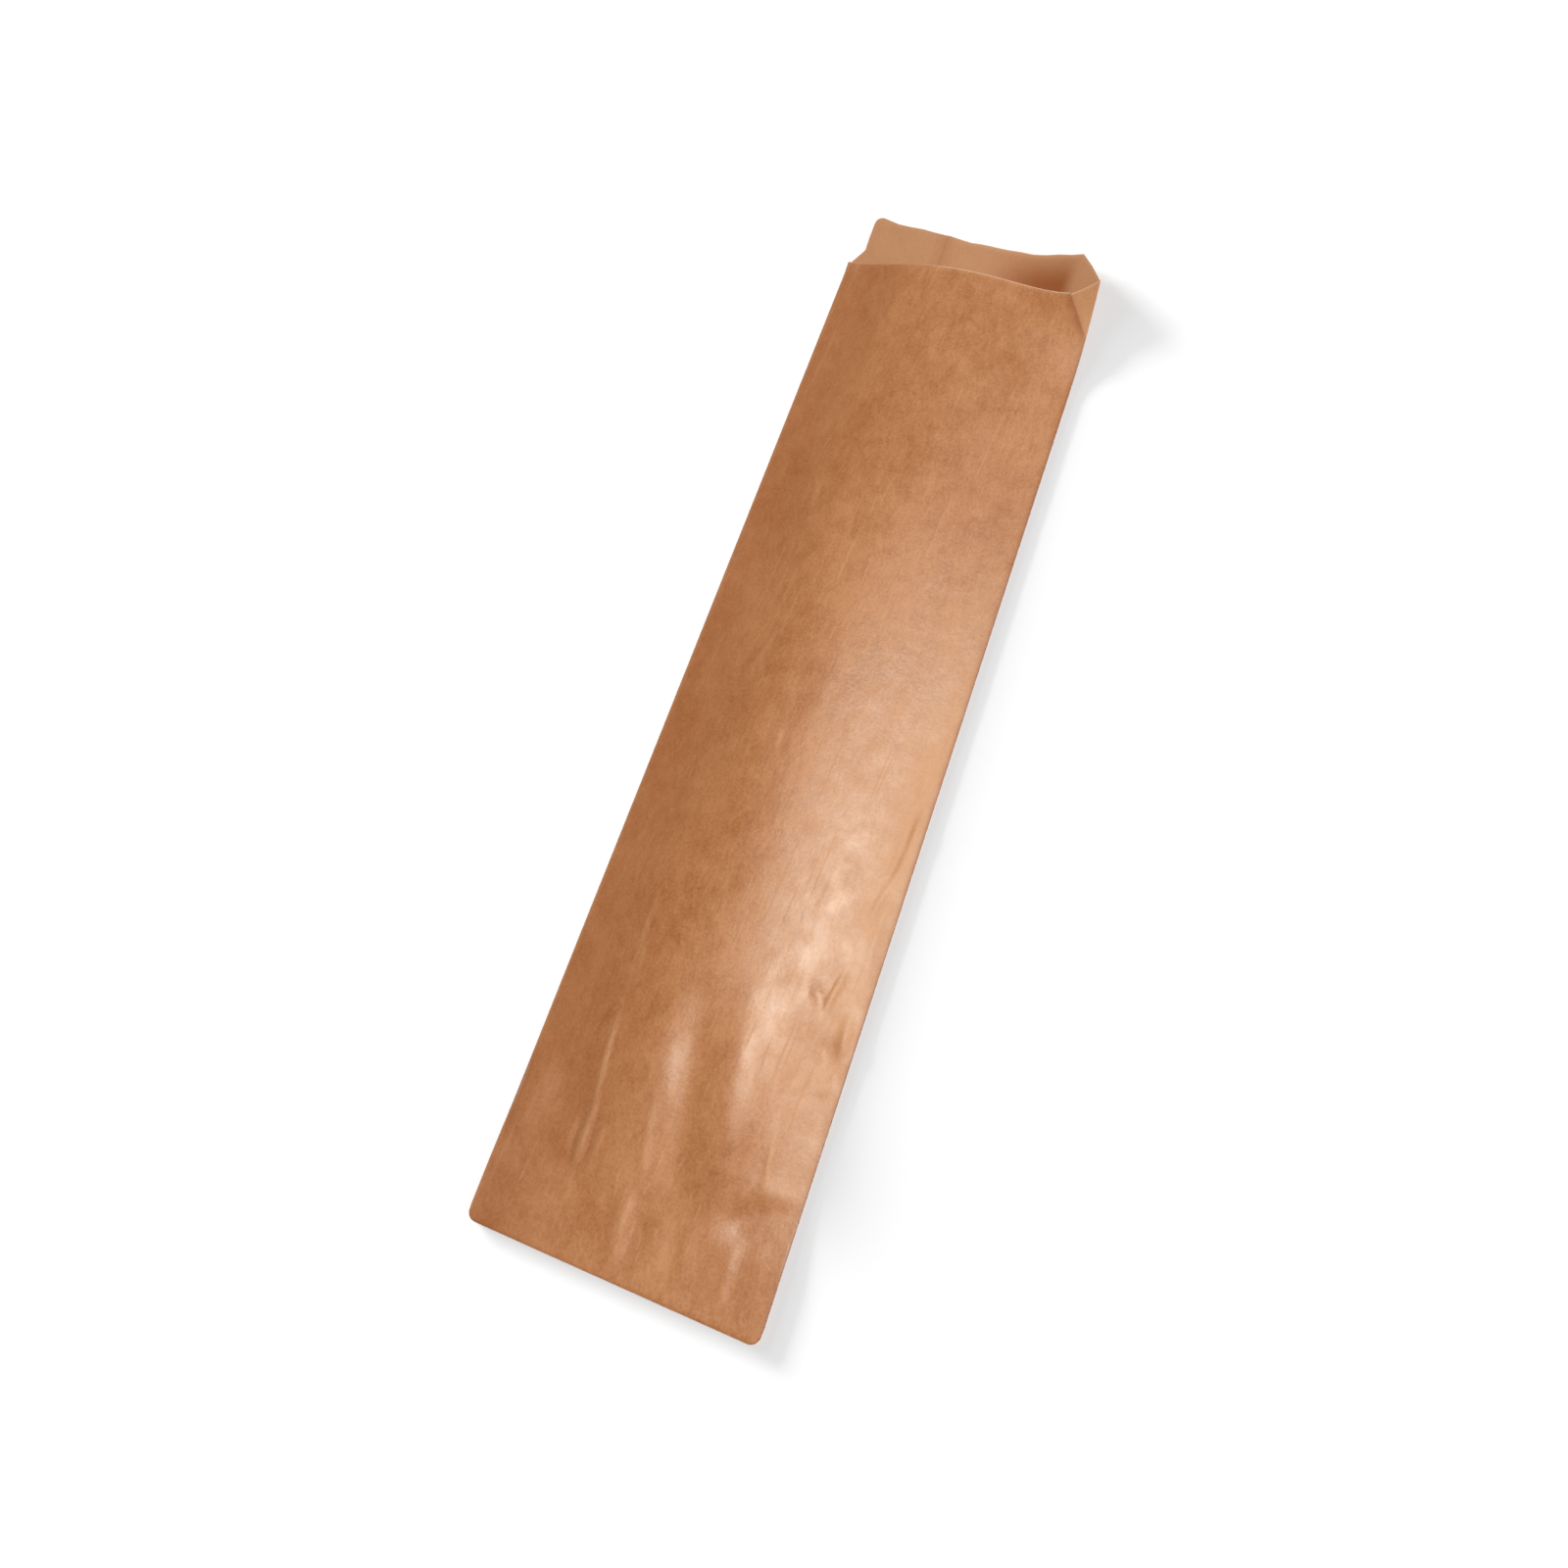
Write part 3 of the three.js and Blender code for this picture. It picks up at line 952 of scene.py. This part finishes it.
        # Painted light: the right gusset's outer face, seen at the mouth's right corner, is made paler as
        # if lit.
        painted_light_face = sheet[:, 2] * sheet[:, 4] * (u > 0.0)
        worn = np.maximum(worn, self.facet_painted_light * painted_light_face)
        # Painted highlight on the outer face near the right edge, strongest along the middle of the bag.
        painted_edge_highlight = self.edge_highlight * smoothstep(u, *self.edge_highlight_across) * bell(y - self.edge_highlight_centre, self.edge_highlight_reach)
        worn = np.maximum(worn, painted_edge_highlight * sheet[:, 2])
        marks = {"worn": worn, "outside": sheet[:, 2], "cut": cut, "shade": self.shade(u, y, sheet)}
        for name, values in marks.items():
            attribute = mesh.attributes.new(name, "FLOAT", "POINT")
            attribute.data.foreach_set("value", values.astype(np.float32))

    def shade(self, u: Array, y: Array, sheet: Array) -> Array:
        """Return the painted shade: a shadow beside the tucked fold, shade inside the mouth and along the
        lap seam, a dark line along the right fold and a darker left side.

        Args:
            u: Across positions.
            y: Distances from the bottom edge.
            sheet: The points' sheet coordinates.

        Returns:
            Values from 0 to 1.
        """
        shape = self.shape
        side, panel = sheet[:, 2], sheet[:, 2] * (1.0 - sheet[:, 4])
        # Painted shadow on the front panel beside the tucked right fold, near the mouth.
        edge = shape.front_edge(Side.RIGHT, y)
        before = shape.front_length - y
        tucked = 1.0 - smoothstep(before, self.tuck_along[1], self.tuck_along[0])
        beside = np.where(u < edge, np.exp(-(edge - u) / self.tuck_reach), 0.0)
        near = u > shape.crease_line - self.tuck_limit
        outer = panel * self.tuck_shade * tucked * beside * near
        # Painted shade on the inside of the mouth's right half, fading towards the lip's edge, and a
        # painted shadow along the lap seam's step.
        across = smoothstep(u, *self.mouth_across) * (1.0 - smoothstep(u, *self.mouth_end))
        along = 1.0 - smoothstep(-before, *self.mouth_along)
        seam = self.seam_shade * bell(u - shape.seam_left + self.seam_shift, self.seam_reach)
        inner = (1.0 - side) * np.maximum(across * along, seam)
        # Painted shade: a dark line along the right fold, below the tuck.
        fold = panel * self.fold_shade * bell(shape.half - u, self.fold_reach) * (1.0 - tucked)
        # Painted shade: the front panel is darker towards its left side.
        darker = panel * self.left_shade * (1.0 - smoothstep(u, -shape.half, self.left_end))
        return np.maximum(np.maximum(outer, inner), np.maximum(fold, darker))

    def build(self) -> bpy.types.Object:
        """Make the object, put the paper on it and give it the CAD node's place.

        Returns:
            The finished piece.
        """
        mesh = self.mesh()
        piece = bpy.data.objects.new(NODE + "_folded", mesh)
        bpy.context.scene.collection.objects.link(piece)
        mesh.materials.append(KraftPaper().material())
        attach(piece, "root")
        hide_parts(NODE)
        LOG.info("%s: %d faces", piece.name, len(mesh.polygons))
        return piece


class Socket:
    """A shader value that can be used in Python arithmetic."""

    def __init__(self, graph: Graph, link: bpy.types.NodeSocket) -> None:
        """Wrap an output socket of a graph."""
        self.graph = graph
        self.link = link

    def math(self, operation: str, other: Socket | float, swap: bool = False) -> Socket:
        """Return the result of a Math node on this value and another."""
        values = (other, self) if swap else (self, other)
        return self.graph.node("ShaderNodeMath", {"operation": operation}, {0: values[0], 1: values[1]})

    def __add__(self, other: Socket | float) -> Socket:
        """Return the sum."""
        return self.math("ADD", other)

    __radd__ = __add__

    def __sub__(self, other: Socket | float) -> Socket:
        """Return the difference."""
        return self.math("SUBTRACT", other)

    def __rsub__(self, other: float) -> Socket:
        """Return the difference from a number."""
        return self.math("SUBTRACT", other, swap=True)

    def __mul__(self, other: Socket | float) -> Socket:
        """Return the product."""
        return self.math("MULTIPLY", other)

    __rmul__ = __mul__

    def clamped(self) -> Socket:
        """Return the value held between 0 and 1."""
        return self.graph.node("ShaderNodeClamp", {}, {"Value": self})

    def between(self, low: float, high: float) -> Socket:
        """Return a smooth ramp from 0 at low to 1 at high.

        Args:
            low: Where the ramp starts.
            high: Where it ends.

        Returns:
            The ramp's value.
        """
        return self.graph.node(
            "ShaderNodeMapRange", {"interpolation_type": "SMOOTHSTEP"},
            {"Value": self, "From Min": low, "From Max": high})


Value = Socket | float | tuple[float, ...]


class Graph:
    """The node tree of a material or world, built from Python."""

    def __init__(self, owner: bpy.types.Material | bpy.types.World) -> None:
        """Clear the owner's nodes.

        Args:
            owner: What the nodes belong to.
        """
        owner.use_nodes = True
        self.tree = owner.node_tree
        self.tree.nodes.clear()

    def make(self, kind: str, settings: dict[str, object],
             inputs: dict[int | str, Value]) -> bpy.types.Node:
        """Add a node.

        Args:
            kind: The node's type.
            settings: Properties that are set before its sockets.
            inputs: Values or links by socket name or index.

        Returns:
            The node.
        """
        node = self.tree.nodes.new(kind)
        for name, value in settings.items():
            setattr(node, name, value)
        for name, value in inputs.items():
            if isinstance(value, Socket):
                self.tree.links.new(value.link, node.inputs[name])
            else:
                node.inputs[name].default_value = value
        return node

    def node(self, kind: str, settings: dict[str, object], inputs: dict[int | str, Value],
             output: int | str = 0) -> Socket:
        """Add a node and return one of its outputs."""
        return Socket(self, self.make(kind, settings, inputs).outputs[output])

    def mix(self, share: Value, first: Value, second: Value) -> Socket:
        """Return a colour between two colours, by the node's sockets for colours: 6, 7 and output 2."""
        node = self.make("ShaderNodeMix", {"data_type": "RGBA"}, {0: share, 6: first, 7: second})
        return Socket(self, node.outputs[2])

    def attribute(self, name: str) -> Socket:
        """Return a number stored on the mesh."""
        return self.node("ShaderNodeAttribute", {"attribute_name": name}, {}, "Fac")

    def noise(self, place: Socket, grain: Grain) -> Socket:
        """Return fractal noise from 0 to 1.

        Args:
            place: Where the noise is read.
            grain: Its scale, detail and stretch.

        Returns:
            The noise.
        """
        if grain.stretch is not None:
            place = self.node(
                "ShaderNodeVectorMath", {"operation": "MULTIPLY"}, {0: place, 1: grain.stretch})
        return self.node("ShaderNodeTexNoise", {}, {
            "Vector": place, "Scale": grain.scale, "Detail": grain.detail,
            "Roughness": grain.roughness}, "Fac")

    def bumped(self, bump: Bump, height: Socket, normal: Socket | None = None) -> Socket:
        """Return the normal of a surface with a height on it.

        Args:
            bump: How strongly the height shows.
            height: The height as a share of the bump's distance.
            normal: The normal below it, if it isn't the mesh's own.

        Returns:
            The normal.
        """
        inputs = {"Strength": bump.strength, "Distance": bump.distance, "Height": height}
        if normal is not None:
            inputs["Normal"] = normal
        return self.node("ShaderNodeBump", {}, inputs)

    def surface(self, shader: Socket) -> None:
        """Join a shader to the output.

        Args:
            shader: What the material or world shows.
        """
        kind = "World" if shader.link.node.bl_idname == "ShaderNodeBackground" else "Material"
        output = self.make("ShaderNodeOutput" + kind, {}, {})
        self.tree.links.new(shader.link, output.inputs[0])


@dataclass(frozen=True)
class Grain:
    """A fractal noise in the paper, stretched along the axes, and how far it moves the shade."""

    scale: float
    detail: float
    roughness: float = 0.5
    stretch: Triple | None = None
    depth: float = 1.0


@dataclass(frozen=True)
class Bump:
    """How strongly a height shows in the surface, and how high it is in metres."""

    strength: float
    distance: float


@dataclass(frozen=True)
class KraftPaper:
    """Brown machine-glazed kraft paper: a soft sheen outside, matt inside, fibres lengthwise."""

    base: Colour = (0.520, 0.220, 0.084, 1.0)
    deep: Colour = (0.348, 0.118, 0.036, 1.0)
    pale: Colour = (0.720, 0.405, 0.210, 1.0)
    inside: Colour = (0.445, 0.210, 0.098, 1.0)
    # The cut edges' pale colour, which also carries their painted highlight.
    cut: Colour = (0.840, 0.570, 0.375, 1.0)
    # The colour of the painted shade.
    painted_shade_colour: Colour = (0.275, 0.080, 0.020, 1.0)
    glaze_roughness: float = 0.41
    worn_roughness: float = 0.62
    specular: float = 0.95
    sheen_tint: Colour = (1.0, 0.92, 0.78, 1.0)
    inside_roughness: float = 0.85
    inside_specular: float = 0.3
    clouds: Grain = Grain(42.0, 4.0, 0.6, (1.0, 0.7, 1.0), depth=1.15)
    patches: Grain = Grain(170.0, 3.0, 0.6, depth=0.7)
    grain: Grain = Grain(1500.0, 2.0, 0.6, depth=1.3)
    mean_shade: float = 0.62
    fibre_depth: float = 1.4
    gloss_depth: float = 0.3
    fine_fibres: Grain = Grain(1700.0, 2.0, 0.6, (1.0, 0.22, 1.0))
    coarse_fibres: Grain = Grain(620.0, 2.0, 0.5, (1.0, 0.3, 1.0))
    fibre_bend: Grain = Grain(110.0, 2.0)
    fibre_wander: float = 0.006
    scratch_lines: Grain = Grain(1300.0, 1.0, 0.5, (1.0, 0.022, 1.0))
    scratch_tilt: float = 0.06
    scratch_range: Pair = (0.60, 0.74)
    scratched_clouds: Pair = (0.38, 0.6)
    scratch_share: float = 0.16
    wear_and_light_share: float = 0.75
    scratch_wear: float = 0.5
    inside_share: float = 0.2
    cut_share: float = 0.8
    outer_range: Pair = (0.3, 0.7)
    fibre_relief: float = 0.6
    grain_relief: float = 0.6
    scratch_relief: float = 0.25
    cockles: Grain = Grain(130.0, 3.0, 0.55)
    cockle_bump: Bump = Bump(0.3, 0.0005)
    fine_bump: Bump = Bump(0.3, 0.00012)

    def material(self) -> bpy.types.Material:
        """Build the paper's shader.

        Returns:
            The material.
        """
        material = bpy.data.materials.new("kraft_paper")
        graph = Graph(material)
        place = graph.node("ShaderNodeTexCoord", {}, {}, "Object")
        clouds = graph.noise(place, self.clouds)
        patches = graph.noise(place, self.patches)
        grain = graph.noise(place, self.grain)
        fibres = self.fibres(graph, place)
        worn = graph.attribute("worn")
        outside = graph.attribute("outside").between(*self.outer_range)
        shade = self.mean_shade + (clouds - 0.5) * self.clouds.depth
        shade = shade + (patches - 0.5) * self.patches.depth + (fibres - 0.5) * self.fibre_depth
        shade = (shade + (grain - 0.5) * self.grain.depth).clamped()
        scratches = self.scratches(graph, place) * clouds.between(*self.scratched_clouds)
        colour = self.colour(graph, shade, scratches, worn, outside)
        rough = self.glaze_roughness + (clouds - 0.5) * self.gloss_depth
        rough = rough + (patches - 0.5) * self.gloss_depth
        lost = worn + scratches * self.scratch_wear
        rough = rough + lost * (self.worn_roughness - self.glaze_roughness)
        cockled = graph.bumped(self.cockle_bump, graph.noise(place, self.cockles))
        relief = fibres * self.fibre_relief + grain * self.grain_relief
        relief = relief + scratches * self.scratch_relief
        bump = graph.bumped(self.fine_bump, relief, cockled)
        glazed = graph.node("ShaderNodeBsdfPrincipled", {}, {
            "Base Color": colour, "Roughness": rough.clamped(), "Specular IOR Level": self.specular,
            "Specular Tint": self.sheen_tint, "Normal": bump})
        matt = graph.node("ShaderNodeBsdfPrincipled", {}, {
            "Base Color": colour, "Roughness": self.inside_roughness,
            "Specular IOR Level": self.inside_specular, "Normal": bump})
        graph.surface(graph.node("ShaderNodeMixShader", {}, {0: outside, 1: matt, 2: glazed}))
        return material

    def fibres(self, graph: Graph, place: Socket) -> Socket:
        """Return short fibres that mostly lie along the bag.

        Args:
            graph: The material's nodes.
            place: Where the pattern is read.

        Returns:
            Values from 0 to 1.
        """
        bent = graph.noise(place, self.fibre_bend)
        wander = graph.node("ShaderNodeCombineXYZ", {}, {"X": (bent - 0.5) * self.fibre_wander})
        moved = graph.node("ShaderNodeVectorMath", {"operation": "ADD"}, {0: place, 1: wander})
        return graph.noise(moved, self.fine_fibres) * 0.5 + graph.noise(moved, self.coarse_fibres) * 0.5

    def scratches(self, graph: Graph, place: Socket) -> Socket:
        """Return fine light scratches along the bag.

        Args:
            graph: The material's nodes.
            place: Where the pattern is read.

        Returns:
            1 on a scratch and 0 beside it.
        """
        tilted = graph.node(
            "ShaderNodeVectorRotate", {"rotation_type": "Z_AXIS"},
            {"Vector": place, "Angle": self.scratch_tilt})
        return graph.noise(tilted, self.scratch_lines).between(*self.scratch_range)

    def colour(self, graph: Graph, shade: Socket, scratches: Socket, worn: Socket,
               outside: Socket) -> Socket:
        """Return the paper's colour.

        Args:
            graph: The material's nodes.
            shade: The paper's cloudiness, from 0 for dark to 1 for light.
            scratches: Fine light scratches.
            worn: How much of the glaze is lost, together with the painted light on the right gusset and the
                painted highlight near the right edge.
            outside: 1 on the outer face.

        Returns:
            The colour.
        """
        outer = graph.mix(shade, self.deep, self.base)
        # The worn mark is real wear on creases and the left fold, together with painted light on the right
        # gusset and a painted highlight near the right edge.
        paler = scratches * self.scratch_share + worn * self.wear_and_light_share
        outer = graph.mix(paler.clamped(), outer, self.pale)
        inner = graph.mix((shade * self.inside_share).clamped(), self.inside, self.pale)
        paper = graph.mix(outside, inner, outer)
        # Painted shade: the paper goes towards a dark colour where the shade mark is.
        paper = graph.mix(graph.attribute("shade"), paper, self.painted_shade_colour)
        # Pale cut edges, carrying a painted highlight.
        return graph.mix(graph.attribute("cut") * self.cut_share, paper, self.cut)


@dataclass(frozen=True)
class Lamp:
    """An area lamp that faces the bag.

    Attributes:
        name: Its name.
        place: Its position from the bag's centre.
        size: Its width and height.
        power: Its power in watts.
        gloss: Whether glossy surfaces reflect it.
        floor_only: Whether it lights the floor alone, which gives the bag its soft shadow.
    """

    name: str
    place: Triple
    size: Pair
    power: float
    gloss: bool = True
    floor_only: bool = False


LAMPS = (
    Lamp("key", (0.68, 0.20, 2.2), (1.0, 1.0), 43.3),
    Lamp("side", (2.2, -0.2, 1.0), (1.0, 1.0), 18.7),
    Lamp("left", (-2.1, 0.55, 0.8), (1.2, 1.2), 21.3, gloss=False),
    Lamp("low", (-2.2, 0.9, 0.42), (1.2, 0.4), 150.0, gloss=False, floor_only=True),
)


@dataclass
class Studio:
    """The pale floor, the lamps and the camera at the photograph's viewpoint."""

    centre: Vector
    floor_size: float = 1.4
    floor_colour: Colour = (0.690, 0.687, 0.687, 1.0)
    floor_glow: float = 0.04
    white: Colour = (1.0, 1.0, 1.0, 1.0)
    focal_pixels: float = 1027.2
    sensor: float = 36.0
    world_strength: float = 0.113
    camera_place: Triple = (0.05694, -0.0787, 0.2294)
    camera_right: Triple = (0.92981, 0.33389, -0.15481)
    camera_up: Triple = (-0.28033, 0.91507, 0.28992)

    def floor(self) -> bpy.types.Object:
        """Make the floor that the bag lies on.

        Returns:
            The floor.
        """
        half = self.floor_size / 2.0
        corners = [(x * half, y * half, 0.0) for x, y in ((-1, -1), (1, -1), (1, 1), (-1, 1))]
        mesh = bpy.data.meshes.new("floor")
        mesh.from_pydata(corners, [], [(0, 1, 2, 3)])
        floor = bpy.data.objects.new("floor", mesh)
        bpy.context.scene.collection.objects.link(floor)
        mesh.materials.append(self.floor_material())
        return floor

    def floor_material(self) -> bpy.types.Material:
        """Build the floor's white, which the camera sees a little brighter than it lights.

        Returns:
            The material.
        """
        material = bpy.data.materials.new("floor")
        graph = Graph(material)
        diffuse = graph.node("ShaderNodeBsdfDiffuse", {}, {"Color": self.floor_colour})
        seen = graph.node("ShaderNodeLightPath", {}, {}, "Is Camera Ray")
        glow = graph.node(
            "ShaderNodeEmission", {}, {"Color": self.white, "Strength": seen * self.floor_glow})
        graph.surface(graph.node("ShaderNodeAddShader", {}, {0: diffuse, 1: glow}))
        return material

    def lamp(self, lamp: Lamp, floor: bpy.types.Object) -> None:
        """Add an area lamp.

        Args:
            lamp: What it is like.
            floor: The floor, which some lamps light alone.
        """
        data = bpy.data.lights.new(lamp.name, "AREA")
        data.shape = "RECTANGLE"
        data.size, data.size_y = lamp.size
        data.energy = lamp.power
        made = bpy.data.objects.new(lamp.name, data)
        made.location = self.centre + Vector(lamp.place)
        direction = self.centre - made.location
        made.rotation_euler = direction.to_track_quat("-Z", "Y").to_euler()
        made.visible_glossy = lamp.gloss
        bpy.context.scene.collection.objects.link(made)
        if lamp.floor_only:
            lit = bpy.data.collections.new("lit_by_" + lamp.name)
            lit.objects.link(floor)
            made.light_linking.receiver_collection = lit

    def world(self) -> None:
        """Set the even light that comes from all round."""
        world = bpy.data.worlds.new("studio")
        graph = Graph(world)
        seen = graph.node("ShaderNodeLightPath", {}, {}, "Is Camera Ray")
        strength = self.world_strength + seen * (1.0 - self.world_strength)
        graph.surface(graph.node(
            "ShaderNodeBackground", {}, {"Color": self.white, "Strength": strength}))
        bpy.context.scene.world = world

    def camera(self) -> None:
        """Place the camera as solved from the corners of the bag in the photograph."""
        data = bpy.data.cameras.new("camera")
        data.sensor_fit = "HORIZONTAL"
        data.sensor_width = self.sensor
        data.lens = self.focal_pixels / PHOTO_SIZE * self.sensor
        data.clip_start = CLIP_START
        camera = bpy.data.objects.new("camera", data)
        bpy.context.scene.collection.objects.link(camera)
        right, up = Vector(self.camera_right).normalized(), Vector(self.camera_up).normalized()
        back = right.cross(up)
        turned = Matrix((right, up, back)).transposed().to_4x4()
        camera.matrix_world = Matrix.Translation(Vector(self.camera_place)) @ turned
        bpy.context.scene.camera = camera

    def build(self) -> None:
        """Set up the floor, the light and the camera."""
        floor = self.floor()
        self.world()
        for lamp in LAMPS:
            self.lamp(lamp, floor)
        self.camera()
        bpy.context.scene.view_settings.view_transform = "Standard"
        LOG.info("studio: floor, lamps and camera")


CREASES = (
    Crease((-19.6, 82.7), (-17.8, 56.0), 0.14, 0.6, 0.0, 0.35),
    Crease((-17.8, 56.0), (-15.0, 30.1), 0.30, 0.7, 0.3, 0.70),
    Crease((-15.2, 34.0), (-15.7, 18.0), 0.55, 0.9, 0.3, 0.50),
    Crease((-17.3, 31.0), (-17.1, 18.5), -0.55, 1.1),
    Crease((-11.4, 31.0), (-12.0, 20.0), 0.35, 0.9, 0.2, 0.20),
    Crease((-13.4, 31.0), (-13.9, 20.0), -0.35, 0.8),
    Crease((-18.0, 71.2), (-16.0, 58.5), 0.10, 0.5, 0.0, 0.30),
    Crease((-2.5, 38.0), (0.8, 20.6), 0.35, 1.1, 0.3, 0.30),
    Crease((-9.5, 66.0), (-6.0, 16.0), 0.55, 6.0),
    Crease((0.5, 60.0), (8.0, 20.0), -1.00, 4.0),
    Crease((11.0, 66.0), (17.5, 22.0), 1.30, 4.8),
    Crease((24.5, 42.7), (26.4, 28.0), 0.30, 0.9, 0.2, 0.40),
    Crease((15.8, 53.1), (20.7, 39.1), 0.20, 1.8),
    Crease((16.0, 20.0), (33.8, 23.6), -0.75, 3.6),
    Crease((24.0, 28.6), (33.8, 29.5), 0.35, 2.2),
    Crease((23.7, 15.3), (25.3, 4.2), 0.28, 1.0, 0.3, 0.15),
    Crease((26.7, 16.8), (28.3, 6.0), -0.55, 1.1),
    Crease((-1.2, 18.5), (0.2, 2.0), 0.95, 1.9, 0.3, 0.35),
    Crease((3.0, 17.0), (3.8, 2.5), -0.70, 2.0),
    Crease((11.4, 14.9), (10.8, 2.0), -0.80, 1.7),
    Crease((14.8, 14.9), (14.0, 2.5), 0.32, 1.9),
    Crease((-32.0, 18.5), (-6.0, 14.0), -0.75, 4.0),
    Crease((-31.0, 9.5), (-15.0, 8.0), 0.35, 3.5),
    Crease((33.2, 118.8), (32.6, 109.5), 0.35, 0.7, 0.0, 0.50),
    Crease((31.2, 116.7), (30.6, 97.6), -0.35, 1.0),
    Crease((32.2, 106.7), (29.0, 90.2), 0.35, 0.8, 0.0, 0.50),
    Crease((32.6, 95.4), (32.8, 81.1), -0.55, 1.3),
    Crease((34.0, 78.5), (31.4, 76.7), -0.40, 1.0),
    Crease((31.8, 69.8), (32.6, 59.0), 0.55, 1.4, 0.0, 0.20),
    Crease((26.4, 62.3), (33.8, 57.2), -0.70, 2.3),
    Crease((29.6, 52.0), (33.8, 54.6), 0.35, 1.2, 0.0, 0.30),
    Crease((22.0, 73.4), (25.8, 69.3), -0.50, 0.9),
    Crease((26.0, 68.7), (27.9, 78.9), 0.45, 0.7, 0.3, 0.90),
    Crease((-17.4, 197.3), (-17.1, 186.4), -0.30, 0.7, 0.0, 0.0),
    Crease((-19.2, 197.0), (-18.8, 186.3), 0.25, 0.9, 0.0, 0.15),
    Crease((-15.2, 262.2), (-19.6, 242.1), 0.55, 2.4),
    Crease((-14.7, 151.0), (-17.5, 140.1), 0.16, 0.7, 0.0, 0.25),
    Crease((-4.3, 128.5), (-3.9, 121.9), 0.14, 0.6, 0.0, 0.40),
)
DENTS = (
    Dent((12.0, 236.0), 0.60, 10.0, 24.0),
    Dent((-9.0, 232.0), 0.50, 9.0, 30.0),
    Dent((-28.0, 246.0), -0.60, 7.0, 24.0),
    Dent((-7.0, 150.0), 1.10, 9.0, 40.0),
    Dent((-25.0, 176.0), -0.60, 7.0, 26.0),
    Dent((-24.0, 110.0), -0.50, 7.0, 24.0),
    Dent((-33.0, 30.0), 1.00, 6.0, 9.0),
    Dent((-23.0, 37.0), -0.70, 4.5, 13.0),
    Dent((-31.0, 9.0), -0.30, 6.0, 6.0),
)


def main() -> None:
    logging.basicConfig(level=logging.INFO, format="%(name)s %(message)s")
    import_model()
    low, high = (Vector(corner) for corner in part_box(NODE))
    shape = BagShape(
        panel_width=high.x - low.x - BagShape.paper, length=high.y - low.y, creases=CREASES, dents=DENTS)
    PaperBag(shape, low.y).build()
    Studio(centre=(low + high) / 2.0).build()


if __name__ == "__main__":
    main()
